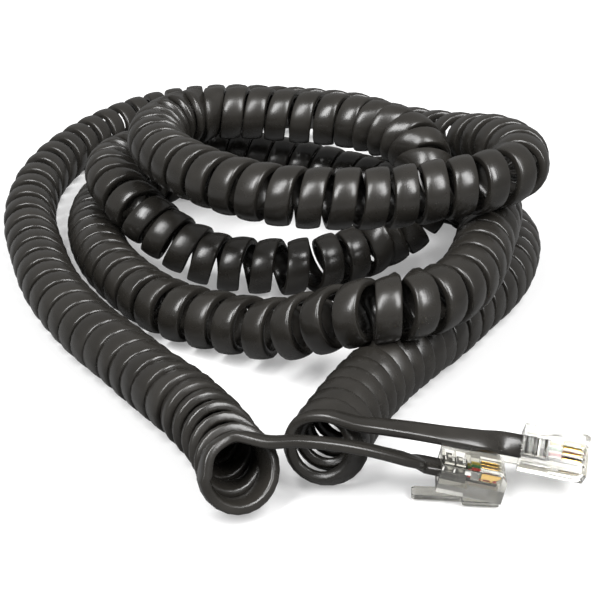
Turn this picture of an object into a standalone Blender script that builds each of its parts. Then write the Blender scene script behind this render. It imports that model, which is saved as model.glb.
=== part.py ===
"""A retractile (curly) four-core cord with a clear modular plug on each end, laid in loops.

The flat cord is wound into a left-handed coil, which is modelled as one fat tube of its outer
diameter. It lies in four loops on the ground plane, and a short flat tail at each end of the coil
runs into a plug. Units are metres, +Z is up, and the origin is under the middle of the whole cord.
"""

import math

import bmesh
import bpy
from mathutils import Euler, Matrix, Vector

# The cord
COIL_DIAMETER = 0.0140
CORD_WIDTH = 0.0044
CORD_THICKNESS = 0.0022
TUBE_STEP = 0.0105      # spacing of the points along the coil's tube
TAIL_STEP = 0.0025      # and along the flat tails
TAIL_STRAIGHT = 0.0035  # how far a tail stays straight behind its plug
FIT_GAP = 0.0003        # space left between pieces that touch

# The plug body: x runs from the cord's entry to the nose, +z is the contact side
BODY_LENGTH = 0.0122
BODY_WIDTH = 0.00765
BODY_HEIGHT = 0.0058
NOSE_CHAMFER = 0.0011
ENTRY_DEPTH = 0.0056    # how far the cord's jacket reaches into the body
ENTRY_WIDTH = 0.0050
ENTRY_HEIGHT = 0.0029
WIRE_ROOM_END = 0.0110
WIRE_ROOM_WIDTH = 0.0046
WIRE_ROOM_HEIGHT = 0.0014

# Contacts and conductors
CORE_COUNT = 4
CORE_PITCH = 0.00102
WIRE_DIAMETER = 0.00070
CONTACT_THICKNESS = 0.0003
CONTACT_START = 0.0075
CONTACT_LENGTH = 0.0036
SLOT_WIDTH = 0.0007

# The two anchor windows, behind the contacts
WINDOW_WIDTH = 0.0040
REAR_WINDOW_START = 0.0005
FRONT_WINDOW_START = 0.0026
WINDOW_LENGTH = 0.0018
REAR_ANCHOR_TOP = 0.0025   # the bars' upper faces, above the plug's middle
FRONT_ANCHOR_TOP = 0.0021
CUTTER_REACH = 0.001       # how far a cutter stands out of the plug

# The latch: a strap that starts under the nose and leans away from the body towards its free end
LATCH_LENGTH = 0.0155
LATCH_THICKNESS = 0.0010
LATCH_SHOULDER_LENGTH = 0.0062
LATCH_SHOULDER_WIDTH = 0.0060
LATCH_FINGER_WIDTH = 0.0034
LATCH_ROOT_X = 0.0116
LATCH_ROOT_LENGTH = 0.0005  # how far the strap goes on past the line it bends about
LATCH_LEAN = math.radians(11)

# The cord's route, as points along its middle: the coil from end A to end B, then both tails.
# They are millimetres, chosen by hand, on a plan with its own zero that PLAN_CENTRE moves.
MILLIMETRE = 0.001
PLAN_CENTRE = (-10.0, 26.6, 0.0)
COIL_ROUTE = [
    # end A, the left side and round the back on the ground
    (-10.6, -90.4, 7.4), (-14.2, -79.0, 7.1), (-19.0, -69.0, 7.0), (-26.5, -58.5, 7.0),
    (-36.0, -44.5, 7.0), (-48.0, -28.0, 7.0), (-59.0, -8.0, 7.0), (-66.5, 13.0, 7.0),
    (-72.0, 32.0, 7.0), (-74.5, 50.0, 7.0), (-74.5, 67.0, 7.0), (-70.5, 89.0, 7.0),
    (-62.0, 110.0, 7.0), (-51.0, 126.0, 7.0), (-38.0, 135.0, 7.0), (-23.0, 137.5, 7.2),
    # climbing over the other loops on the right
    (-7.0, 131.0, 8.5), (6.0, 113.0, 13.0), (18.0, 91.0, 18.0), (28.0, 67.0, 22.0),
    (37.0, 49.0, 26.0), (44.0, 33.0, 30.2), (48.7, 19.0, 34.2), (52.0, 6.0, 35.8),
    (49.5, -6.0, 36.0), (41.5, -12.5, 35.7),
    # the top loop: its front, its left curl and its back
    (32.0, -15.5, 35.0), (21.0, -17.5, 34.0), (9.0, -18.5, 34.0), (-4.0, -16.5, 34.0),
    (-15.0, -10.5, 34.0), (-24.0, -2.0, 34.0), (-31.5, 8.6, 34.0), (-36.2, 21.0, 34.0),
    (-35.0, 34.0, 34.0), (-27.5, 42.5, 34.0), (-14.0, 44.0, 34.0), (0.0, 42.0, 33.5),
    (12.0, 38.5, 33.5), (22.0, 33.5, 33.0),
    # diving under the top loop, and the second loop
    (29.2, 27.0, 31.5), (32.0, 20.5, 27.0), (31.3, 16.2, 20.5), (27.5, 15.2, 14.0),
    (21.0, 14.0, 10.0), (12.0, 8.5, 8.0), (0.0, 3.8, 7.2), (-12.0, 4.4, 7.1),
    (-23.0, 7.0, 8.3), (-33.0, 10.8, 12.8), (-42.0, 17.0, 18.5), (-48.5, 28.0, 21.0),
    (-49.0, 41.0, 21.0), (-41.0, 52.0, 20.5), (-25.0, 57.0, 19.0), (-5.0, 56.0, 16.0),
    (15.0, 50.0, 13.5), (31.0, 39.5, 13.0), (42.4, 27.2, 16.0), (47.4, 14.0, 20.3),
    # the third loop, over the last one on the right and down to the ground in front
    (46.5, 2.0, 21.3), (43.5, -9.0, 21.3), (40.0, -22.5, 21.3), (34.5, -36.0, 21.3),
    (27.2, -44.8, 21.5), (20.0, -48.2, 21.6), (12.5, -47.6, 20.3), (4.0, -42.2, 15.4),
    (-5.0, -35.5, 10.3), (-18.0, -27.0, 7.8), (-31.0, -18.5, 7.1), (-41.0, -5.6, 7.0),
    (-49.5, 11.0, 7.0), (-54.7, 31.0, 7.0), (-53.5, 50.0, 7.0), (-43.0, 64.0, 7.0),
    # the last loop, on the ground, and end B
    (-25.0, 71.0, 7.0), (-5.0, 72.0, 7.0), (17.0, 67.0, 7.0), (36.0, 57.0, 7.0),
    (49.0, 41.0, 7.0), (54.7, 22.0, 7.0), (52.0, 6.0, 7.0), (46.5, -7.0, 7.0),
    (40.0, -17.5, 7.0), (33.5, -28.0, 7.0), (26.5, -38.0, 7.0), (20.0, -47.0, 7.0),
    (14.0, -57.0, 7.0), (8.8, -68.0, 7.1), (3.8, -83.0, 7.4),
]
# A tail's points also say how far its wide face leans over, in degrees from facing straight up.
TAIL_A_ROUTE = [
    (-5.3, -88.3, 14.8, 18.0), (-1.0, -88.2, 14.9, 20.0), (5.0, -88.0, 14.3, 18.0),
    (11.0, -87.6, 13.0, 16.0), (16.0, -86.9, 11.2, 13.0), (20.5, -85.7, 9.1, 6.0),
]
TAIL_B_ROUTE = [
    (10.5, -82.9, 15.3, 8.0), (15.0, -82.9, 14.7, 2.0), (21.0, -82.6, 13.6, -4.0),
    (27.5, -82.4, 12.3, -11.0), (33.5, -82.6, 11.4, -24.0),
]
# Each plug: the middle of its cord's entry, then its roll, its nose-down pitch and its heading
PLUG_A = ((25.6, -84.2, 6.75), (0.0, 11.0, -4.0))
PLUG_B = ((40.9, -82.0, 9.8), (40.0, 7.0, -10.0))


def clear_scene():
    """Remove what a new file starts with."""
    for obj in list(bpy.data.objects):
        bpy.data.objects.remove(obj)


def plastic(name, colour, roughness, alpha=1.0):
    """A plain plastic."""
    material = bpy.data.materials.new(name)
    material.use_nodes = True
    shader = material.node_tree.nodes["Principled BSDF"]
    shader.inputs["Base Color"].default_value = (*colour, 1.0)
    shader.inputs["Roughness"].default_value = roughness
    shader.inputs["Alpha"].default_value = alpha
    return material


def gold_plate(name):
    """The contacts' plating."""
    material = plastic(name, (0.83, 0.60, 0.22), 0.25)
    material.node_tree.nodes["Principled BSDF"].inputs["Metallic"].default_value = 1.0
    return material


def add_object(name, data, material, collection, parent=None):
    """Put a mesh or a curve in the scene as one named sub-part."""
    obj = bpy.data.objects.new(name, data)
    data.materials.append(material)
    collection.objects.link(obj)
    obj.parent = parent
    return obj


def smooth_route(points, step):
    """Read points about a step apart from a centripetal Catmull-Rom curve through the route."""
    knots = [Vector(p) for p in points]
    first = knots[0] * 2 - knots[1]
    last = knots[-1] * 2 - knots[-2]
    knots = [first] + knots + [last]
    dense = []
    for a, b, c, d in zip(knots, knots[1:], knots[2:], knots[3:]):
        t1 = math.sqrt((b - a).length)
        t2 = t1 + math.sqrt((c - b).length)
        t3 = t2 + math.sqrt((d - c).length)
        for i in range(16):
            t = t1 + (t2 - t1) * i / 16
            ab = a.lerp(b, t / t1)
            bc = b.lerp(c, (t - t1) / (t2 - t1))
            cd = c.lerp(d, (t - t2) / (t3 - t2))
            abc = ab.lerp(bc, t / t2)
            bcd = bc.lerp(cd, (t - t1) / (t3 - t1))
            dense.append(abc.lerp(bcd, (t - t1) / (t2 - t1)))
    dense.append(knots[-2])
    lengths = [0.0]
    for a, b in zip(dense, dense[1:]):
        lengths.append(lengths[-1] + (b - a).length)
    count = max(2, round(lengths[-1] / step))
    even = []
    i = 0
    for k in range(count + 1):
        along = lengths[-1] * k / count
        while i < len(dense) - 2 and lengths[i + 1] < along:
            i += 1
        even.append(dense[i].lerp(dense[i + 1], (along - lengths[i]) / (lengths[i + 1] - lengths[i])))
    return even


def on_plan(points):
    """Millimetres on the plan to metres in the part's frame; a fourth number stays as it is."""
    moved = []
    for x, y, z, *rest in points:
        place = [(value - centre) * MILLIMETRE for value, centre in zip((x, y, z), PLAN_CENTRE)]
        moved.append((*place, *rest))
    return moved


def sweep(name, points, material, collection, tilts=None):
    """A curve along the points; tilts turn its section, in radians."""
    curve = bpy.data.curves.new(name, "CURVE")
    curve.dimensions = "3D"
    curve.twist_mode = "Z_UP"
    curve.use_fill_caps = True
    curve.resolution_u = 1
    spline = curve.splines.new("POLY")
    spline.points.add(len(points) - 1)
    for i, point in enumerate(points):
        spline.points[i].co = (*point[:3], 1.0)
        if tilts:
            spline.points[i].tilt = tilts[i]
    return add_object(name, curve, material, collection)


def coil(material, collection):
    """The whole helix as one fat tube, lying in its loops."""
    tube = sweep("coil", smooth_route(on_plan(COIL_ROUTE), TUBE_STEP), material, collection)
    tube.data.bevel_depth = COIL_DIAMETER / 2
    tube.data.bevel_resolution = 4
    return tube


def tail(name, route, plug, material, collection):
    """A flat strap from the end of the coil into a plug, as wide and as thick as the cord."""
    along = plug.matrix_world.to_3x3() @ Vector((1, 0, 0))
    entry = plug.matrix_world.translation
    plug_up = plug.matrix_world.to_3x3() @ Vector((0, 0, 1))
    lean = math.degrees(math.atan2(plug_up.y, plug_up.z))
    inside = entry + along * (ENTRY_DEPTH - 2 * FIT_GAP)
    outside = entry - along * TAIL_STRAIGHT
    points = on_plan(route)
    points = points + [(*outside, lean), (*inside, lean)]
    even = smooth_route([p[:3] for p in points], TAIL_STEP)
    tilts = []
    for place in even:
        near = sorted(points, key=lambda p: (Vector(p[:3]) - place).length)[:2]
        far = [(Vector(p[:3]) - place).length for p in near]
        leans = [p[3] for p in near]
        tilts.append(math.radians(90 - (leans[0] * far[1] + leans[1] * far[0]) / sum(far)))
    strap = sweep(name, even, material, collection, tilts)
    strap.data.extrude = (CORD_WIDTH - CORD_THICKNESS) / 2
    strap.data.bevel_depth = CORD_THICKNESS / 2
    strap.data.bevel_resolution = 1
    return strap


def box_mesh(name, low, high):
    """A box between two corners."""
    size = [b - a for a, b in zip(low, high)]
    middle = [(a + b) / 2 for a, b in zip(low, high)]
    mesh = bpy.data.meshes.new(name)
    bm = bmesh.new()
    bmesh.ops.create_cube(bm, size=1.0, matrix=Matrix.Translation(middle) @ Matrix.Diagonal((*size, 1.0)))
    bm.to_mesh(mesh)
    bm.free()
    return mesh


def outline_curve(name, corners, width):
    """A flat outline in the x-z plane, given as (x, z) corners and made as wide as needed along y."""
    curve = bpy.data.curves.new(name, "CURVE")
    curve.dimensions = "2D"
    curve.fill_mode = "BOTH"
    curve.extrude = width / 2
    spline = curve.splines.new("POLY")
    spline.points.add(len(corners) - 1)
    for point, (x, z) in zip(spline.points, corners):
        point.co = (x, z, 0.0, 1.0)
    spline.use_cyclic_u = True
    return curve


def mesh_from_curve(name, curve):
    """The welded mesh of an outline curve, stood up so that its width runs along y."""
    guide = bpy.data.objects.new(name, curve)
    mesh = bpy.data.meshes.new_from_object(guide)
    bpy.data.objects.remove(guide)
    bm = bmesh.new()
    bm.from_mesh(mesh)
    bmesh.ops.remove_doubles(bm, verts=bm.verts, dist=0.00001)
    bmesh.ops.rotate(bm, verts=bm.verts, matrix=Matrix.Rotation(math.radians(90), 3, "X"))
    bm.to_mesh(mesh)
    bm.free()
    return mesh


def add_cutter(target, name, low, high, collection):
    """Cut a box out of a plug part."""
    cutter = bpy.data.objects.new(name, box_mesh(name, low, high))
    collection.objects.link(cutter)
    cutter.parent = target.parent
    cutter.hide_render = True
    cutter.display_type = "WIRE"
    cut = target.modifiers.new(name, "BOOLEAN")
    cut.operation = "DIFFERENCE"
    cut.object = cutter


def core_offsets():
    """The y of each conductor and contact."""
    return [(i - (CORE_COUNT - 1) / 2) * CORE_PITCH for i in range(CORE_COUNT)]


def plug_body(prefix, place, material, collection, cutters):
    """The clear body: a block with a cut nose, a cord entry, a room for the conductors, two anchor
    windows and a slot for each contact."""
    half = BODY_HEIGHT / 2
    corners = [
        (0.0, -half), (BODY_LENGTH, -half), (BODY_LENGTH, half - NOSE_CHAMFER),
        (BODY_LENGTH - NOSE_CHAMFER, half), (0.0, half),
    ]
    name = prefix + "_body"
    mesh = mesh_from_curve(name, outline_curve(name, corners, BODY_WIDTH))
    body = add_object(name, mesh, material, collection, place)
    add_cutter(body, prefix + "_entry_cutter", (-CUTTER_REACH, -ENTRY_WIDTH / 2, -ENTRY_HEIGHT / 2),
               (ENTRY_DEPTH, ENTRY_WIDTH / 2, ENTRY_HEIGHT / 2), cutters)
    add_cutter(body, prefix + "_wire_room_cutter",
               (ENTRY_DEPTH - FIT_GAP, -WIRE_ROOM_WIDTH / 2, -WIRE_ROOM_HEIGHT / 2),
               (WIRE_ROOM_END, WIRE_ROOM_WIDTH / 2, WIRE_ROOM_HEIGHT / 2), cutters)
    for label, start in (("rear", REAR_WINDOW_START), ("front", FRONT_WINDOW_START)):
        add_cutter(body, prefix + "_" + label + "_window_cutter", (start, -WINDOW_WIDTH / 2, 0.0),
                   (start + WINDOW_LENGTH, WINDOW_WIDTH / 2, half + CUTTER_REACH), cutters)
    for i, y in enumerate(core_offsets()):
        add_cutter(body, prefix + "_slot_cutter_" + str(i + 1),
                   (CONTACT_START - FIT_GAP, y - SLOT_WIDTH / 2, 0.0),
                   (CONTACT_START + CONTACT_LENGTH + FIT_GAP, y + SLOT_WIDTH / 2, half + CUTTER_REACH), cutters)
    return body


def plug_anchors(prefix, place, material, collection):
    """The bars that the crimping tool pushes down on the jacket through the two windows."""
    half_width = WINDOW_WIDTH / 2 - FIT_GAP
    bars = (("rear", REAR_WINDOW_START, REAR_ANCHOR_TOP), ("front", FRONT_WINDOW_START, FRONT_ANCHOR_TOP))
    for label, start, top in bars:
        name = prefix + "_anchor_" + label
        low = (start + FIT_GAP, -half_width, CORD_THICKNESS / 2 + FIT_GAP)
        high = (start + WINDOW_LENGTH - FIT_GAP, half_width, top)
        add_object(name, box_mesh(name, low, high), material, collection, place)


def plug_cores(prefix, place, wire_materials, gold, collection):
    """The end of each conductor, and the blade contact that bites it from above."""
    start = ENTRY_DEPTH + FIT_GAP
    length = WIRE_ROOM_END - FIT_GAP - start
    turn = Matrix.Rotation(math.radians(90), 4, "Y")
    radius = WIRE_DIAMETER / 2
    for i, y in enumerate(core_offsets()):
        name = prefix + "_wire_" + str(i + 1)
        mesh = bpy.data.meshes.new(name)
        bm = bmesh.new()
        lie = Matrix.Translation((start + length / 2, y, 0.0)) @ turn
        bmesh.ops.create_cone(bm, cap_ends=True, segments=10, radius1=radius, radius2=radius, depth=length,
                              matrix=lie)
        bm.to_mesh(mesh)
        bm.free()
        add_object(name, mesh, wire_materials[i], collection, place)
        name = prefix + "_contact_" + str(i + 1)
        low = (CONTACT_START, y - CONTACT_THICKNESS / 2, radius + FIT_GAP)
        high = (CONTACT_START + CONTACT_LENGTH, y + CONTACT_THICKNESS / 2, BODY_HEIGHT / 2 - 2 * FIT_GAP)
        add_object(name, box_mesh(name, low, high), gold, collection, place)


def plug_latch(prefix, place, material, collection):
    """The latch, with its origin on the line it bends about, under the nose."""
    hinge = bpy.data.objects.new(prefix + "_latch_hinge", None)
    collection.objects.link(hinge)
    hinge.parent = place
    hinge.location = (LATCH_ROOT_X, 0.0, -BODY_HEIGHT / 2 - FIT_GAP - LATCH_THICKNESS / 2)
    hinge.rotation_euler = (0.0, -LATCH_LEAN, 0.0)
    shoulder = LATCH_SHOULDER_WIDTH / 2
    finger = LATCH_FINGER_WIDTH / 2
    corners = [
        (LATCH_ROOT_LENGTH, -shoulder), (LATCH_ROOT_LENGTH, shoulder), (-LATCH_SHOULDER_LENGTH, shoulder),
        (-LATCH_SHOULDER_LENGTH, finger), (-LATCH_LENGTH, finger), (-LATCH_LENGTH, -finger),
        (-LATCH_SHOULDER_LENGTH, -finger), (-LATCH_SHOULDER_LENGTH, -shoulder),
    ]
    name = prefix + "_latch"
    mesh = mesh_from_curve(name, outline_curve(name, corners, LATCH_THICKNESS))
    bm = bmesh.new()
    bm.from_mesh(mesh)
    bmesh.ops.rotate(bm, verts=bm.verts, matrix=Matrix.Rotation(math.radians(-90), 3, "X"))
    bm.to_mesh(mesh)
    bm.free()
    return add_object(name, mesh, material, collection, hinge)


def plug(prefix, placing, materials, collection, cutters):
    """One plug, on an empty that stands in the middle of its cord's entry."""
    middle, (roll, pitch, heading) = placing
    place = bpy.data.objects.new(prefix + "_place", None)
    collection.objects.link(place)
    place.location = on_plan([middle])[0]
    place.rotation_euler = Euler([math.radians(v) for v in (roll, pitch, heading)])
    plug_body(prefix, place, materials["clear"], collection, cutters)
    plug_anchors(prefix, place, materials["clear"], collection)
    plug_cores(prefix, place, materials["wires"], materials["gold"], collection)
    plug_latch(prefix, place, materials["clear"], collection)
    bpy.context.view_layer.update()
    return place


clear_scene()
parts = bpy.data.collections.new("curly_cord")
cutters = bpy.data.collections.new("cutters")
for group in (parts, cutters):
    bpy.context.scene.collection.children.link(group)
jacket = plastic("cord jacket", (0.055, 0.052, 0.048), 0.35)
plug_materials = {
    "clear": plastic("clear polycarbonate", (0.86, 0.87, 0.84), 0.08, 0.35),
    "gold": gold_plate("gold plate"),
    "wires": [
        plastic("black insulation", (0.02, 0.02, 0.02), 0.45),
        plastic("red insulation", (0.60, 0.04, 0.03), 0.45),
        plastic("green insulation", (0.05, 0.35, 0.08), 0.45),
        plastic("yellow insulation", (0.85, 0.72, 0.12), 0.45),
    ],
}
coil(jacket, parts)
place_a = plug("plug_a", PLUG_A, plug_materials, parts, cutters)
place_b = plug("plug_b", PLUG_B, plug_materials, parts, cutters)
tail("tail_a", TAIL_A_ROUTE, place_a, jacket, parts)
tail("tail_b", TAIL_B_ROUTE, place_b, jacket, parts)
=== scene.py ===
"""The looks of a curly handset cord: a flat four-core cord wound into a long coil that lies in four
loops, with a clear modular plug on each end. All of it is in metres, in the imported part's frame.
"""

import math

import bmesh
import bpy
from mathutils import Euler, Matrix, Vector


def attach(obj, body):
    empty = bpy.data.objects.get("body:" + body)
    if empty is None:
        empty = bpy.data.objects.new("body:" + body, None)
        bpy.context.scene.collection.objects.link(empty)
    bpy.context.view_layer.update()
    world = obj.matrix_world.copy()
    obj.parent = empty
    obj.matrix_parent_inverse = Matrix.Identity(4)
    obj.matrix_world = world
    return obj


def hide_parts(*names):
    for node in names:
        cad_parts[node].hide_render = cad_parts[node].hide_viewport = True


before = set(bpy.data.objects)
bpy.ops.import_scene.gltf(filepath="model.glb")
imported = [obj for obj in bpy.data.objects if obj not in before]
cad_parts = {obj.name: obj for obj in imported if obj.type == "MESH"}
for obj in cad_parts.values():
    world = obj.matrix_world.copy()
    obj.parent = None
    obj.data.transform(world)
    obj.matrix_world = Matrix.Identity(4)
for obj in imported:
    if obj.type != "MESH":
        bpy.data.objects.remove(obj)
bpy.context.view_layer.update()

# ---------------------------------------------------------------------------------------------
# The camera. It looks down on the near side of the cord at 26 degrees, from a forearm away.
# ---------------------------------------------------------------------------------------------

camera = bpy.data.objects.new("camera", bpy.data.cameras.new("camera"))
bpy.context.scene.collection.objects.link(camera)
bpy.context.scene.camera = camera
camera.data.lens = 75.9
camera.data.sensor_width = 36
camera.data.clip_start = 0.01
camera.location = (0.0100, -0.3071, 0.1368)
camera.rotation_euler = (math.radians(64), 0, 0)

# ---------------------------------------------------------------------------------------------
# The cord. Four conductors side by side in one flat dark PVC jacket, wound edge to edge on a rod and
# baked, so that it stays a left-handed coil 14 mm across, closed up in its curls and pulled open on its
# long runs. It is drawn wider where it is wound than in its straight tails, so that its turns close up.
# ---------------------------------------------------------------------------------------------

COIL_DIAMETER = 0.0140
WOUND_WIDTH, WOUND_THICKNESS = 0.0054, 0.0024
TAIL_WIDTH, TAIL_THICKNESS = 0.0044, 0.0022
CORNER_RADIUS = 0.00052
FACE_CROWN = 0.00026        # how far the wide faces bulge
FACE_SLOPE = math.radians(14)   # where they run into the rounded corners
ROUTE_STEP, TAIL_STEP = 0.0005, 0.0010
TURN_STEPS = 24             # sections in each turn
TAPER_STEPS = 10            # and in the change from the coil's strap to a tail's
PLAN_CENTRE = Vector((-0.0100, 0.0266, 0.0))

# The coil's middle line from end A to end B in millimetres on its plan, as in the CAD. With each
# point goes the pitch of its turns there, and how far their tops lean towards end B.
COIL_ROUTE = [
    # end A, the left side and round the back on the ground
    (-10.6, -90.4, 7.4, 5.2, 3.0), (-14.2, -79.0, 7.1, 5.2, 2.0), (-19.0, -69.0, 7.0, 5.2, 0.8),
    (-26.5, -58.5, 7.0, 5.2, 0.0), (-36.0, -44.5, 7.0, 5.5, 0.0), (-48.0, -28.0, 7.0, 6.0, 0.0),
    (-59.0, -8.0, 7.0, 6.9, 0.0), (-66.5, 13.0, 7.0, 7.0, 0.0), (-72.0, 32.0, 7.0, 8.7, 0.0),
    (-74.5, 50.0, 7.0, 8.9, 0.0), (-74.5, 67.0, 7.0, 9.5, 0.0), (-70.5, 89.0, 7.0, 8.8, 0.0),
    (-62.0, 110.0, 7.0, 7.8, 0.0), (-51.0, 126.0, 7.0, 7.8, 0.0), (-38.0, 135.0, 7.0, 7.2, 0.0),
    (-23.0, 137.5, 7.2, 7.0, 0.0),
    # climbing over the other loops on the right
    (-7.0, 131.0, 8.5, 8.2, 0.0), (6.0, 113.0, 13.0, 13.0, 0.0), (18.0, 91.0, 18.0, 13.0, 0.0),
    (28.0, 67.0, 22.0, 13.0, 0.0), (37.0, 49.0, 26.0, 12.0, 0.0), (44.0, 33.0, 30.2, 10.0, 0.0),
    (48.7, 19.0, 34.2, 7.8, 0.0), (52.0, 6.0, 35.8, 7.6, 0.0), (49.5, -6.0, 36.0, 7.1, 0.2),
    (41.5, -12.5, 35.7, 6.8, 0.5),
    # the top loop: its front, its left curl and its back
    (32.0, -15.5, 35.0, 6.4, 0.5), (21.0, -17.5, 34.0, 6.6, 0.5), (9.0, -18.5, 34.0, 6.6, 0.5),
    (-4.0, -16.5, 34.0, 6.4, 0.5), (-15.0, -10.5, 34.0, 6.6, 0.5), (-24.0, -2.0, 34.0, 6.6, 0.5),
    (-31.5, 8.6, 34.0, 6.1, 0.3), (-36.2, 21.0, 34.0, 5.6, 0.3), (-35.0, 34.0, 34.0, 5.2, -0.3),
    (-27.5, 42.5, 34.0, 5.6, -0.3), (-14.0, 44.0, 34.0, 6.2, -0.3), (0.0, 42.0, 33.5, 6.9, -0.3),
    (12.0, 38.5, 33.5, 6.3, -0.3), (22.0, 33.5, 33.0, 5.2, 0.0),
    # diving under the top loop, and the second loop
    (29.2, 27.0, 31.5, 5.2, 0.0), (32.0, 20.5, 27.0, 5.2, 0.0), (31.3, 16.2, 20.5, 5.2, 0.0),
    (27.5, 15.2, 14.0, 5.3, 0.0), (21.0, 14.0, 10.0, 5.9, 0.0), (12.0, 8.5, 8.0, 6.8, 0.8),
    (0.0, 3.8, 7.2, 7.6, 0.8), (-12.0, 4.4, 7.1, 7.7, 0.8), (-23.0, 7.0, 8.3, 6.4, 0.8),
    (-33.0, 10.8, 12.8, 6.0, 0.8), (-42.0, 17.0, 18.5, 6.0, 0.8), (-48.5, 28.0, 21.0, 5.4, 0.5),
    (-49.0, 41.0, 21.0, 5.2, 0.0), (-41.0, 52.0, 20.5, 5.3, 0.0), (-25.0, 57.0, 19.0, 6.0, 0.0),
    (-5.0, 56.0, 16.0, 6.4, 0.0), (15.0, 50.0, 13.5, 6.4, 0.0), (31.0, 39.5, 13.0, 6.0, 0.0),
    (42.4, 27.2, 16.0, 5.6, 0.0), (47.4, 14.0, 20.3, 5.3, 0.0),
    # the third loop, over the last one on the right and down to the ground in front
    (46.5, 2.0, 21.3, 5.4, 0.0), (43.5, -9.0, 21.3, 5.5, 0.0), (40.0, -22.5, 21.3, 7.2, 0.2),
    (34.5, -36.0, 21.3, 6.6, 0.4), (27.2, -44.8, 21.5, 6.0, 0.7), (20.0, -48.2, 21.6, 5.7, 0.7),
    (12.5, -47.6, 20.3, 6.9, 0.7), (4.0, -42.2, 15.4, 8.6, 0.7), (-5.0, -35.5, 10.3, 9.2, 0.7),
    (-18.0, -27.0, 7.8, 7.4, 0.7), (-31.0, -18.5, 7.1, 6.6, 0.7), (-41.0, -5.6, 7.0, 6.5, 0.4),
    (-49.5, 11.0, 7.0, 5.7, 0.2), (-54.7, 31.0, 7.0, 5.2, 0.0), (-53.5, 50.0, 7.0, 5.2, 0.0),
    (-43.0, 64.0, 7.0, 5.3, 0.0),
    # the last loop, on the ground, and end B
    (-25.0, 71.0, 7.0, 6.0, 0.0), (-5.0, 72.0, 7.0, 6.2, 0.0), (17.0, 67.0, 7.0, 6.2, 0.0),
    (36.0, 57.0, 7.0, 6.0, 0.0), (49.0, 41.0, 7.0, 5.4, 0.0), (54.7, 22.0, 7.0, 5.2, 0.0),
    (52.0, 6.0, 7.0, 5.3, 0.0), (46.5, -7.0, 7.0, 5.8, 0.0), (40.0, -17.5, 7.0, 6.7, 0.0),
    (33.5, -28.0, 7.0, 6.7, 0.0), (26.5, -38.0, 7.0, 5.2, 0.0), (20.0, -47.0, 7.0, 4.9, -0.2),
    (14.0, -57.0, 7.0, 4.7, -0.5), (8.8, -68.0, 7.1, 4.7, -1.1), (3.8, -83.0, 7.4, 4.7, -1.6),
]
# The tails' middle lines outside the plugs, and with each point how far the wide face leans over,
# in degrees from facing straight up.
TAIL_A_ROUTE = [
    (-5.3, -88.3, 14.8, 18.0), (-1.0, -88.2, 14.9, 20.0), (5.0, -88.0, 14.3, 18.0),
    (11.0, -87.6, 13.0, 16.0), (16.0, -86.9, 11.2, 13.0), (20.5, -85.7, 9.1, 6.0),
]
TAIL_B_ROUTE = [
    (10.5, -82.9, 15.3, 8.0), (15.0, -82.9, 14.7, 2.0), (21.0, -82.6, 13.6, -4.0),
    (27.5, -82.4, 12.3, -11.0), (33.5, -82.6, 11.4, -24.0),
]
# Where each plug stands: the middle of its cord's entry, then its roll, nose-down pitch and heading
PLUG_A = ((25.6, -84.2, 6.75), (0.0, 11.0, -4.0))
PLUG_B = ((40.9, -82.0, 9.8), (40.0, 7.0, -10.0))
JACKET_DEPTH = 0.0050       # how far the jacket reaches into a plug
STRAIGHT_RUN = 0.0035       # and how far it stays straight behind it
END_FLARE = 0.0012          # how far the coil's end rings spring open
GROUND_GAP = 0.0001
SIGHT_TOP = Vector((0, 0.44, 0.90))


def placed(x, y, z):
    """A point of the plan, in millimetres, in the part's frame."""
    return Vector((x, y, z)) * 0.001 - PLAN_CENTRE


def smooth_route(points, step):
    """Even points along a centripetal Catmull-Rom curve through the given ones. A point is its place
    and a vector of values that go along with it."""
    before = (points[0][0] * 2 - points[1][0], points[0][1])
    after = (points[-1][0] * 2 - points[-2][0], points[-1][1])
    knots = [before, *points, after]
    dense = []
    for (a, _), (b, start), (c, end), (d, _) in zip(knots, knots[1:], knots[2:], knots[3:]):
        t1 = math.sqrt((b - a).length)
        t2 = t1 + math.sqrt((c - b).length)
        t3 = t2 + math.sqrt((d - c).length)
        for i in range(16):
            share = i / 16
            t = t1 + (t2 - t1) * share
            ab = a.lerp(b, t / t1)
            bc = b.lerp(c, share)
            cd = c.lerp(d, (t - t2) / (t3 - t2))
            place = ab.lerp(bc, t / t2).lerp(bc.lerp(cd, (t - t1) / (t3 - t1)), share)
            dense.append((place, start.lerp(end, share)))
    dense.append(points[-1])
    lengths = [0.0]
    for (a, _), (b, _) in zip(dense, dense[1:]):
        lengths.append(lengths[-1] + (b - a).length)
    count = max(2, round(lengths[-1] / step))
    even = []
    i = 0
    for k in range(count + 1):
        along = lengths[-1] * k / count
        while i < len(dense) - 2 and lengths[i + 1] < along:
            i += 1
        share = (along - lengths[i]) / (lengths[i + 1] - lengths[i])
        (a, start), (b, end) = dense[i], dense[i + 1]
        even.append((a.lerp(b, share), start.lerp(end, share)))
    return even


def shingle_angle(pitch):
    """The angle at which straps this far apart lie on each other like shingles, or 0 where there is
    room for their whole width."""
    spine = WOUND_WIDTH - WOUND_THICKNESS
    pitch = max(pitch, WOUND_THICKNESS * 1.02)
    if pitch >= WOUND_WIDTH:
        return 0.0
    cosine = (pitch ** 2 + spine ** 2 - WOUND_THICKNESS ** 2) / (2 * pitch * spine)
    angle = math.acos(min(1.0, cosine))
    if pitch * math.cos(angle) <= spine:
        angle = math.asin(WOUND_THICKNESS / pitch)
    return angle


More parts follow.
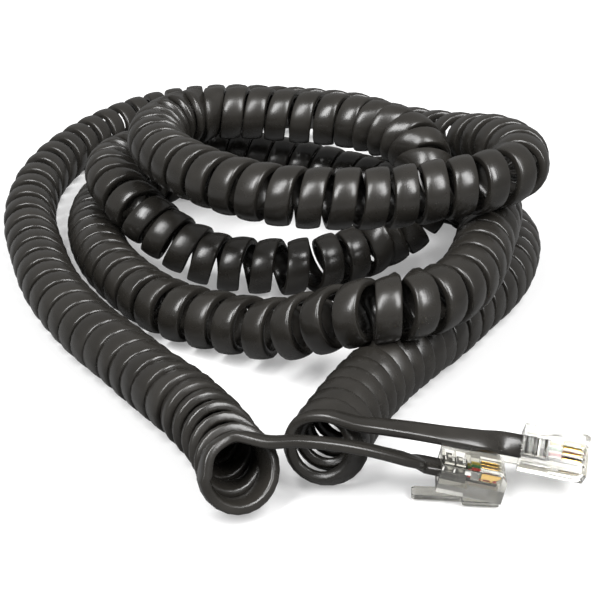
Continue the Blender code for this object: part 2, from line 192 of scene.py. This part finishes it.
def wound(route, step):
    """The strap's middle line round the coil: for each section its place, the way its wide face looks
    and its shingle angle."""
    points = [(placed(x, y, z), Vector((pitch, lean)) * 0.001) for x, y, z, pitch, lean in route]
    axis = smooth_route(points, step)
    forward = [(b - a).normalized() for (a, _), (b, _) in zip(axis, axis[1:])]
    forward.append(forward[-1])
    gap = sum((b - a).length for (a, _), (b, _) in zip(axis, axis[1:])) / (len(axis) - 1)
    # a frame that doesn't turn about the middle line, starting with its side straight up
    side = (Vector((0, 0, 1)) - forward[0] * forward[0].z).normalized()
    sides = [side]
    bends = [Vector((0, 0, 0))]
    for a, b in zip(forward, forward[1:]):
        side = a.rotation_difference(b) @ side
        side = (side - b * side.dot(b)).normalized()
        sides.append(side)
        bends.append((b - a) / gap)
    angles = [0.0]
    for (_, a), (_, b) in zip(axis, axis[1:]):
        angles.append(angles[-1] + 2 * math.pi * gap / ((a.x + b.x) / 2))
    # the last turn comes up to the top of its ring, where the strap leaves it
    top = (Vector((0, 0, 1)) - forward[-1] * forward[-1].z).normalized()
    across = forward[-1].cross(sides[-1])
    wanted = -math.atan2(top.dot(across), top.dot(sides[-1])) % (2 * math.pi)
    turns = round((angles[-1] - wanted) / (2 * math.pi))
    stretch = (turns * 2 * math.pi + wanted) / angles[-1]
    angles = [angle * stretch for angle in angles]
    total = angles[-1]
    radius = (COIL_DIAMETER - WOUND_THICKNESS) / 2
    count = round(total / (2 * math.pi) * TURN_STEPS)
    strap = []
    i = 0
    for k in range(count + 1):
        angle = total * k / count
        while i < len(angles) - 2 and angles[i + 1] < angle:
            i += 1
        share = (angle - angles[i]) / (angles[i + 1] - angles[i])
        centre = axis[i][0].lerp(axis[i + 1][0], share)
        pitch, lean = axis[i][1].lerp(axis[i + 1][1], share)
        ahead = forward[i].lerp(forward[i + 1], share).normalized()
        up = sides[i].lerp(sides[i + 1], share)
        up = (up - ahead * up.dot(ahead)).normalized()
        out = up * math.cos(angle) - ahead.cross(up) * math.sin(angle)
        near = bends[max(0, i - 6):i + 7]
        bend = sum(near, Vector((0, 0, 0))) / len(near)
        shingle = shingle_angle(pitch / stretch * (1 - radius * bend.dot(out)))
        # the ring leans over as a whole
        tip = math.asin(lean / radius)
        out = Matrix.Rotation(-tip, 3, ahead.cross(SIGHT_TOP).normalized()) @ out
        flare = END_FLARE * (math.exp(-angle / 5) + 0.8 * math.exp((angle - total) / 5))
        # and rests on the ground where it would sink in
        droop = abs(tip) + shingle_angle(pitch / stretch)
        rest = (COIL_DIAMETER / 2 + flare) * math.cos(tip) + WOUND_WIDTH / 2 * math.sin(droop) + GROUND_GAP
        centre.z = max(centre.z, rest)
        strap.append((centre + out * (radius + flare), out, shingle))
    return strap


def plug_place(placing):
    """A plug's own frame: x from the cord's entry to the nose, z to the side with the contacts."""
    middle, turns = placing
    turned = Euler([math.radians(v) for v in turns]).to_matrix().to_4x4()
    return Matrix.Translation(placed(*middle)) @ turned


def tail_line(route, plug, joint, step):
    """A tail's middle line from the coil's last quarter turn to the end of its jacket in the plug."""
    place = plug_place(plug)
    along = (place.to_3x3() @ Vector((1, 0, 0))).normalized()
    face = (place.to_3x3() @ Vector((0, 0, 1))).normalized()
    points = [(point, out) for point, out, _ in joint]
    for x, y, z, lean in route:
        angle = math.radians(lean)
        points.append((placed(x, y, z), Vector((0, math.sin(angle), math.cos(angle)))))
    points.append((place.translation - along * STRAIGHT_RUN, face))
    points.append((place.translation + along * JACKET_DEPTH, face))
    return [(point, out.normalized(), 0.0) for point, out in smooth_route(points, step)]


def strap_section(width, thickness):
    """A rounded rectangle with crowned wide faces, as (across, out) pairs."""
    flat = width / 2 - CORNER_RADIUS
    high = thickness / 2 - FACE_CROWN - CORNER_RADIUS * math.cos(FACE_SLOPE)
    edge = flat + CORNER_RADIUS * math.sin(FACE_SLOPE)
    section = []
    for side, face in ((1, 1), (-1, 1), (-1, -1), (1, -1)):
        turns = [0, math.pi / 4 - FACE_SLOPE / 2, math.pi / 2 - FACE_SLOPE]
        corner = [(side * (flat + CORNER_RADIUS * math.cos(turn)),
                   face * (high + CORNER_RADIUS * math.sin(turn))) for turn in turns]
        section += corner if side == face else corner[::-1]
        if side == face:
            section += [(side * edge * share, face * (thickness / 2 - FACE_CROWN * share ** 2))
                        for share in (0.5, 0.0, -0.5)]
    return section


coil_strap = wound(COIL_ROUTE, ROUTE_STEP)
quarter = TURN_STEPS // 4
tail_a = tail_line(TAIL_A_ROUTE, PLUG_A, coil_strap[quarter::-3], TAIL_STEP)
tail_b = tail_line(TAIL_B_ROUTE, PLUG_B, coil_strap[-1 - quarter::3], TAIL_STEP)
strap = tail_a[:0:-1] + coil_strap[quarter:-quarter] + tail_b[1:]
coil_start, coil_end = len(tail_a) - 1, len(strap) - len(tail_b)

cord_mesh = bmesh.new()
rings = []
lengths = [0.0]
for i, (place, face, shingle) in enumerate(strap):
    before, after = strap[max(0, i - 1)][0], strap[min(len(strap) - 1, i + 1)][0]
    if i:
        lengths.append(lengths[-1] + (place - before).length)
    ahead = (after - before).normalized()
    out = (face - ahead * face.dot(ahead)).normalized()
    across = ahead.cross(out)
    out, across = (out * math.cos(shingle) + across * math.sin(shingle),
                   across * math.cos(shingle) - out * math.sin(shingle))
    beyond = max(coil_start - i, i - coil_end, 0)
    taper = min(1.0, beyond / TAPER_STEPS)
    width = WOUND_WIDTH + (TAIL_WIDTH - WOUND_WIDTH) * taper
    thickness = WOUND_THICKNESS + (TAIL_THICKNESS - WOUND_THICKNESS) * taper
    section = strap_section(width, thickness)
    rings.append([cord_mesh.verts.new(place + across * x + out * y) for x, y in section])
uv = cord_mesh.loops.layers.uv.new("along the cord")
section_count = len(rings[0])
for i, (a, b) in enumerate(zip(rings, rings[1:])):
    for k in range(section_count):
        n = (k + 1) % section_count
        face = cord_mesh.faces.new((a[k], a[n], b[n], b[k]))
        face.smooth = True
        for loop, (row, column) in zip(face.loops, ((i, k), (i, k + 1), (i + 1, k + 1), (i + 1, k))):
            loop[uv].uv = (column / section_count, lengths[row] * 50)
for ring in (rings[0][::-1], rings[-1]):
    cord_mesh.faces.new(ring)
bmesh.ops.recalc_face_normals(cord_mesh, faces=cord_mesh.faces)
cord_data = bpy.data.meshes.new("cord")
cord_mesh.to_mesh(cord_data)
cord_mesh.free()
cord = bpy.data.objects.new("cord", cord_data)
bpy.context.scene.collection.objects.link(cord)
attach(cord, "cord")
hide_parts("coil", "tail_a", "tail_b")


def handled_surface():
    """Fine grain, and the cloudy smudges and dulling of a thing that has been handled: the colour is
    darkened and lightened, the roughness follows the smudges and the height follows the grain."""
    group = bpy.data.node_groups.new("handled surface", "ShaderNodeTree")
    kinds = {"Place": "NodeSocketVector", "Colour": "NodeSocketColor"}
    for side, labels in (("INPUT", ("Place", "Colour", "Roughness", "Grain", "Smudge", "Amount")),
                         ("OUTPUT", ("Colour", "Roughness", "Height"))):
        for label in labels:
            kind = kinds.get(label, "NodeSocketFloat")
            group.interface.new_socket(name=label, in_out=side, socket_type=kind)
    nodes, links = group.nodes, group.links
    start, end = nodes.new("NodeGroupInput"), nodes.new("NodeGroupOutput")
    noises = {}
    for label, detail in (("Grain", 2.0), ("Smudge", 5.0)):
        noise = nodes.new("ShaderNodeTexNoise")
        noise.inputs["Detail"].default_value = detail
        noise.inputs["Roughness"].default_value = 0.6
        links.new(start.outputs["Place"], noise.inputs["Vector"])
        links.new(start.outputs[label], noise.inputs["Scale"])
        noises[label] = noise.outputs["Fac"]
    # smudges from 1 - amount to 1 + amount of the colour
    shift = nodes.new("ShaderNodeMath")
    shift.operation = "SUBTRACT"
    links.new(noises["Smudge"], shift.inputs[0])
    shift.inputs[1].default_value = 0.5
    scaled = nodes.new("ShaderNodeMath")
    scaled.operation = "MULTIPLY"
    links.new(shift.outputs[0], scaled.inputs[0])
    links.new(start.outputs["Amount"], scaled.inputs[1])
    gain = nodes.new("ShaderNodeMath")
    gain.operation = "MULTIPLY_ADD"
    links.new(scaled.outputs[0], gain.inputs[0])
    gain.inputs[1].default_value = 2.0
    gain.inputs[2].default_value = 1.0
    tint = nodes.new("ShaderNodeVectorMath")
    tint.operation = "SCALE"
    links.new(start.outputs["Colour"], tint.inputs[0])
    links.new(gain.outputs[0], tint.inputs["Scale"])
    dulling = nodes.new("ShaderNodeMath")
    dulling.operation = "MULTIPLY_ADD"
    links.new(scaled.outputs[0], dulling.inputs[0])
    dulling.inputs[1].default_value = 0.5
    links.new(start.outputs["Roughness"], dulling.inputs[2])
    links.new(tint.outputs[0], end.inputs["Colour"])
    links.new(dulling.outputs[0], end.inputs["Roughness"])
    links.new(noises["Grain"], end.inputs["Height"])
    return group


handled = handled_surface()


def plastic(name, colour, roughness, grain, smudge, amount, bump):
    """A Principled material with the handled surface on Object coordinates; bump is in metres."""
    material = bpy.data.materials.new(name)
    material.use_nodes = True
    nodes, links = material.node_tree.nodes, material.node_tree.links
    shader = nodes["Principled BSDF"]
    place = nodes.new("ShaderNodeTexCoord")
    surface = nodes.new("ShaderNodeGroup")
    surface.node_tree = handled
    links.new(place.outputs["Object"], surface.inputs["Place"])
    surface.inputs["Colour"].default_value = (*colour, 1)
    surface.inputs["Roughness"].default_value = roughness
    surface.inputs["Grain"].default_value = grain
    surface.inputs["Smudge"].default_value = smudge
    surface.inputs["Amount"].default_value = amount
    relief = nodes.new("ShaderNodeBump")
    relief.name = "relief"
    relief.inputs["Strength"].default_value = 1.0
    relief.inputs["Distance"].default_value = bump
    links.new(surface.outputs["Colour"], shader.inputs["Base Color"])
    links.new(surface.outputs["Roughness"], shader.inputs["Roughness"])
    links.new(surface.outputs["Height"], relief.inputs["Height"])
    links.new(relief.outputs["Normal"], shader.inputs["Normal"])
    return material, shader, surface


# The jacket's skin also has the faint lines that the extruder's die draws along it.
jacket, _, skin = plastic("dark PVC jacket", (0.0175, 0.0160, 0.0138), 0.27, 2600, 90, 0.60, 0.000012)
tree = jacket.node_tree
strap_uv = tree.nodes.new("ShaderNodeUVMap")
strap_uv.uv_map = "along the cord"
stretched = tree.nodes.new("ShaderNodeMapping")
stretched.inputs["Scale"].default_value = (60, 0.8, 1)
die_lines = tree.nodes.new("ShaderNodeTexNoise")
die_lines.inputs["Scale"].default_value = 1.0
die_lines.inputs["Detail"].default_value = 3.0
both = tree.nodes.new("ShaderNodeMath")
both.operation = "ADD"
tree.links.new(strap_uv.outputs["UV"], stretched.inputs["Vector"])
tree.links.new(stretched.outputs["Vector"], die_lines.inputs["Vector"])
tree.links.new(die_lines.outputs["Fac"], both.inputs[0])
tree.links.new(skin.outputs["Height"], both.inputs[1])
tree.links.new(both.outputs[0], tree.nodes["relief"].inputs["Height"])
cord_data.materials.append(jacket)

# ---------------------------------------------------------------------------------------------
# The plugs' bodies. Each is one injection moulding in clear polycarbonate: a block with a cut nose,
# a mouth for the flat cord, a room for the four cores, two anchor windows and a slot per contact.
# ---------------------------------------------------------------------------------------------

BODY_HEIGHT = 0.0058
BODY_EDGE = 0.00013


def finished(name, mesh, material, body, slot, *nodes):
    """Turn a bmesh into a piece that rides on a body and stands for the CAD nodes."""
    data = bpy.data.meshes.new(name)
    mesh.to_mesh(data)
    mesh.free()
    piece = bpy.data.objects.new(name, data)
    bpy.context.scene.collection.objects.link(piece)
    data.materials.append(material)
    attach(piece, body)
    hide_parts(*nodes)
    return piece


def rounded(mesh, width, segments=2, sharper_than=30):
    """Break every sharp edge of a bmesh."""
    sharp = [edge for edge in mesh.edges
             if len(edge.link_faces) == 2 and edge.calc_face_angle(0) > math.radians(sharper_than)]
    bmesh.ops.bevel(mesh, geom=sharp, offset=width, offset_type="OFFSET", affect="EDGES",
                    segments=segments, profile=0.5, material=-1, clamp_overlap=True)


clear, polycarbonate, _ = plastic("clear polycarbonate", (0.83, 0.82, 0.77),
                                  0.11, 900, 160, 0.12, 0.000004)
polycarbonate.inputs["Transmission Weight"].default_value = 1.0
polycarbonate.inputs["IOR"].default_value = 1.585

plugs = (("plug_a", plug_place(PLUG_A), "latch_a"), ("plug_b", plug_place(PLUG_B), "latch_b"))
for plug, _, _ in plugs:
    shell = bmesh.new()
    shell.from_mesh(bpy.data.objects[plug + "_body"].data)
    bmesh.ops.remove_doubles(shell, verts=shell.verts, dist=0.00001)
    bmesh.ops.dissolve_limit(shell, angle_limit=math.radians(1), verts=shell.verts, edges=shell.edges)
    rounded(shell, BODY_EDGE)
    piece = finished(plug + "_shell", shell, clear, "cord", "clear_plastic", plug + "_body")

# ---------------------------------------------------------------------------------------------
# The anchors. Two bars of the same moulding that the crimping tool folds down through the windows
# on to the jacket, each with a sloping back.
# ---------------------------------------------------------------------------------------------

ANCHOR_WIDTH = 0.0034
ANCHORS = (("rear", 0.0008, 0.0012, 0.0025), ("front", 0.0029, 0.0012, 0.0021))
ANCHOR_BOTTOM = 0.0014
ANCHOR_SLOPE = 0.4          # how much of its length the back slopes over
ANCHOR_EDGE = 0.00008

for plug, place, _ in plugs:
    for label, start, length, top in ANCHORS:
        bar = bmesh.new()
        middle = Vector((start + length / 2, 0, (ANCHOR_BOTTOM + top) / 2))
        sides = Matrix.Diagonal((length, ANCHOR_WIDTH, top - ANCHOR_BOTTOM, 1))
        block = Matrix.Translation(middle) @ sides
        bmesh.ops.create_cube(bar, size=1, matrix=block)
        for vert in bar.verts:
            if vert.co.z < middle.z and vert.co.x < middle.x:
                vert.co.x += length * ANCHOR_SLOPE
        rounded(bar, ANCHOR_EDGE)
        bmesh.ops.transform(bar, matrix=place, verts=bar.verts)
        name = plug + "_anchor_" + label
        piece = finished(name + "_bar", bar, clear, "cord", "clear_plastic", name)

# ---------------------------------------------------------------------------------------------
# The cores. Four stranded conductors in black, red, green and yellow insulation, which leave the
# jacket inside the plug and end, cut square, under the contacts.
# ---------------------------------------------------------------------------------------------

CORE_PITCH, CORE_DIAMETER = 0.00102, 0.00070
CORE_START, CORE_END = 0.0046, 0.0107
COPPER_DIAMETER = 0.00034
COPPER_PROUD = 0.00012      # how far the copper stands out of the cut end
WIRE_SLOTS = ("wire_black", "wire_red", "wire_green", "wire_yellow")

insulation = [
    plastic(name + " insulation", colour, 0.42, 1800, 300, 0.25, 0.00001)[0]
    for name, colour in (("black", (0.018, 0.018, 0.020)), ("red", (0.50, 0.028, 0.022)),
                         ("green", (0.035, 0.26, 0.06)), ("yellow", (0.78, 0.60, 0.07)))
]
copper, wire, _ = plastic("bare copper", (0.86, 0.42, 0.24), 0.28, 5200, 700, 0.30, 0.00001)
wire.inputs["Metallic"].default_value = 1.0
flat_out = Matrix.Rotation(math.radians(90), 4, "Y")
for plug, place, _ in plugs:
    for i, material in enumerate(insulation):
        core = bmesh.new()
        y = (i - 1.5) * CORE_PITCH
        lie = place @ Matrix.Translation(((CORE_START + CORE_END) / 2, y, 0)) @ flat_out
        bmesh.ops.create_cone(core, cap_ends=True, segments=20, radius1=CORE_DIAMETER / 2,
                              radius2=CORE_DIAMETER / 2, depth=CORE_END - CORE_START, matrix=lie)
        # the square-cut end shows the copper in the middle of its insulation
        forwards = place.to_3x3() @ Vector((1, 0, 0))
        nose = max(core.faces, key=lambda face: face.calc_center_median().dot(forwards))
        bmesh.ops.inset_region(core, faces=[nose], thickness=(CORE_DIAMETER - COPPER_DIAMETER) / 2,
                               use_even_offset=True)
        nose.material_index = 1
        bmesh.ops.translate(core, verts=nose.verts, vec=forwards * COPPER_PROUD)
        for face in core.faces:
            face.smooth = len(face.verts) == 4
        name = plug + "_wire_" + str(i + 1)
        piece = finished(name + "_core", core, material, "cord", WIRE_SLOTS[i], name)
        piece.data.materials.append(copper)

# ---------------------------------------------------------------------------------------------
# The contacts. Four stamped phosphor-bronze blades, gold plated, pressed down their slots until
# their two teeth go through the insulation; the rounded front shoulder is what a jack's wire meets.
# ---------------------------------------------------------------------------------------------

BLADE_THICKNESS = 0.0003
BLADE_EDGE = 0.00004
BLADE_OUTLINE = (
    (0.0075, 0.0023), (0.0075, 0.0009), (0.0078, 0.0004), (0.0081, 0.0009),
    (0.0092, 0.0009), (0.0095, 0.0004), (0.0098, 0.0009), (0.0106, 0.0012),
    (0.0111, 0.0016), (0.0111, 0.0019), (0.0108, 0.0022), (0.0104, 0.0023),
)

gold, plating, _ = plastic("gold plate", (0.86, 0.58, 0.20), 0.22, 4200, 600, 0.22, 0.000008)
plating.inputs["Metallic"].default_value = 1.0
for plug, place, _ in plugs:
    for i in range(4):
        blade = bmesh.new()
        y = (i - 1.5) * CORE_PITCH - BLADE_THICKNESS / 2
        face = blade.faces.new([blade.verts.new((x, y, z)) for x, z in BLADE_OUTLINE])
        grown = bmesh.ops.extrude_face_region(blade, geom=[face])["geom"]
        bmesh.ops.translate(blade, verts=[v for v in grown if isinstance(v, bmesh.types.BMVert)],
                            vec=(0, BLADE_THICKNESS, 0))
        bmesh.ops.recalc_face_normals(blade, faces=blade.faces)
        rounded(blade, BLADE_EDGE, segments=1, sharper_than=50)
        bmesh.ops.transform(blade, matrix=place, verts=blade.verts)
        name = plug + "_contact_" + str(i + 1)
        piece = finished(name + "_blade", blade, gold, "cord", "gold_plate", name)

# ---------------------------------------------------------------------------------------------
# The latches. A springy strap of the same clear moulding, rooted under the nose and leaning away
# from the body; its broad shoulders catch in the jack and its narrow finger is what one presses.
# ---------------------------------------------------------------------------------------------

LATCH_THICKNESS = 0.0010
LATCH_EDGE = 0.00015
LATCH_ROOT_X = 0.0116
LATCH_GAP = 0.0003          # between the strap's root and the body
LATCH_LEAN = math.radians(11)
LATCH_OUTLINE = (
    (0.0005, 0.0030), (-0.0057, 0.0030), (-0.0062, 0.0028), (-0.0062, 0.0019),
    (-0.0066, 0.0017), (-0.0150, 0.0016), (-0.0155, 0.0012),
)

for plug, place, body in plugs:
    strip = bmesh.new()
    low = -LATCH_THICKNESS / 2
    edge = [strip.verts.new((x, y, low)) for x, y in LATCH_OUTLINE]
    edge += [strip.verts.new((x, -y, low)) for x, y in reversed(LATCH_OUTLINE)]
    face = strip.faces.new(edge)
    grown = bmesh.ops.extrude_face_region(strip, geom=[face])["geom"]
    bmesh.ops.translate(strip, verts=[v for v in grown if isinstance(v, bmesh.types.BMVert)],
                        vec=(0, 0, LATCH_THICKNESS))
    bmesh.ops.recalc_face_normals(strip, faces=strip.faces)
    rounded(strip, LATCH_EDGE)
    root = Matrix.Translation((LATCH_ROOT_X, 0, -BODY_HEIGHT / 2 - LATCH_GAP - LATCH_THICKNESS / 2))
    leaning = place @ root @ Matrix.Rotation(-LATCH_LEAN, 4, "Y")
    bmesh.ops.transform(strip, matrix=leaning, verts=strip.verts)
    piece = finished(plug + "_latch_strap", strip, clear, body, "clear_plastic", plug + "_latch")

# ---------------------------------------------------------------------------------------------
# The studio: white paper that lies in full light, a tall softbox on each side and a dim grey room.
# ---------------------------------------------------------------------------------------------

floor_mesh = bmesh.new()
bmesh.ops.create_grid(floor_mesh, x_segments=1, y_segments=1, size=3.0)
bmesh.ops.translate(floor_mesh, verts=floor_mesh.verts, vec=(0, 0, -0.0001))
floor_data = bpy.data.meshes.new("floor")
floor_mesh.to_mesh(floor_data)
floor_mesh.free()
floor = bpy.data.objects.new("floor", floor_data)
bpy.context.scene.collection.objects.link(floor)
paper = bpy.data.materials.new("white paper")
paper.use_nodes = True
nodes, links = paper.node_tree.nodes, paper.node_tree.links
sheet = nodes["Principled BSDF"]
sheet.inputs["Roughness"].default_value = 1.0
sheet.inputs["Specular IOR Level"].default_value = 0.0
sheet.inputs["Emission Color"].default_value = (1, 1, 1, 1)
path = nodes.new("ShaderNodeLightPath")
seen = nodes.new("ShaderNodeMath")
seen.operation = "MAXIMUM"
links.new(path.outputs["Is Camera Ray"], seen.inputs[0])
links.new(path.outputs["Is Transmission Ray"], seen.inputs[1])
glow = nodes.new("ShaderNodeMath")
glow.operation = "MULTIPLY"
glow.inputs[1].default_value = 0.30
shade = nodes.new("ShaderNodeMix")
shade.data_type = "RGBA"
shade.inputs["A"].default_value = (0.20, 0.20, 0.20, 1)
shade.inputs["B"].default_value = (0.62, 0.62, 0.62, 1)
links.new(seen.outputs[0], shade.inputs["Factor"])
links.new(shade.outputs["Result"], sheet.inputs["Base Color"])
links.new(seen.outputs[0], glow.inputs[0])
links.new(glow.outputs[0], sheet.inputs["Emission Strength"])
floor_data.materials.append(paper)

world = bpy.data.worlds.new("grey room")
bpy.context.scene.world = world
world.use_nodes = True
nodes, links = world.node_tree.nodes, world.node_tree.links
path = nodes.new("ShaderNodeLightPath")
room = nodes.new("ShaderNodeMath")
room.operation = "MULTIPLY_ADD"
links.new(path.outputs["Is Camera Ray"], room.inputs[0])
room.inputs[1].default_value = 0.70
room.inputs[2].default_value = 0.30
nodes["Background"].inputs["Color"].default_value = (1, 1, 1, 1)
links.new(room.outputs[0], nodes["Background"].inputs["Strength"])

for name, azimuth in (("softbox_left", -38), ("softbox_right", 38)):
    light = bpy.data.lights.new(name, "AREA")
    light.shape = "RECTANGLE"
    light.size, light.size_y = 0.28, 0.75
    light.energy = 12
    box = bpy.data.objects.new(name, light)
    turn, rise = math.radians(azimuth), math.radians(50)
    box.location = (math.sin(turn) * math.cos(rise), -math.cos(turn) * math.cos(rise), math.sin(rise))
    box.rotation_euler = (Vector((0, 0, 0)) - box.location).to_track_quat("-Z", "Y").to_euler()
    bpy.context.scene.collection.objects.link(box)

bpy.context.scene.view_settings.view_transform = "Standard"
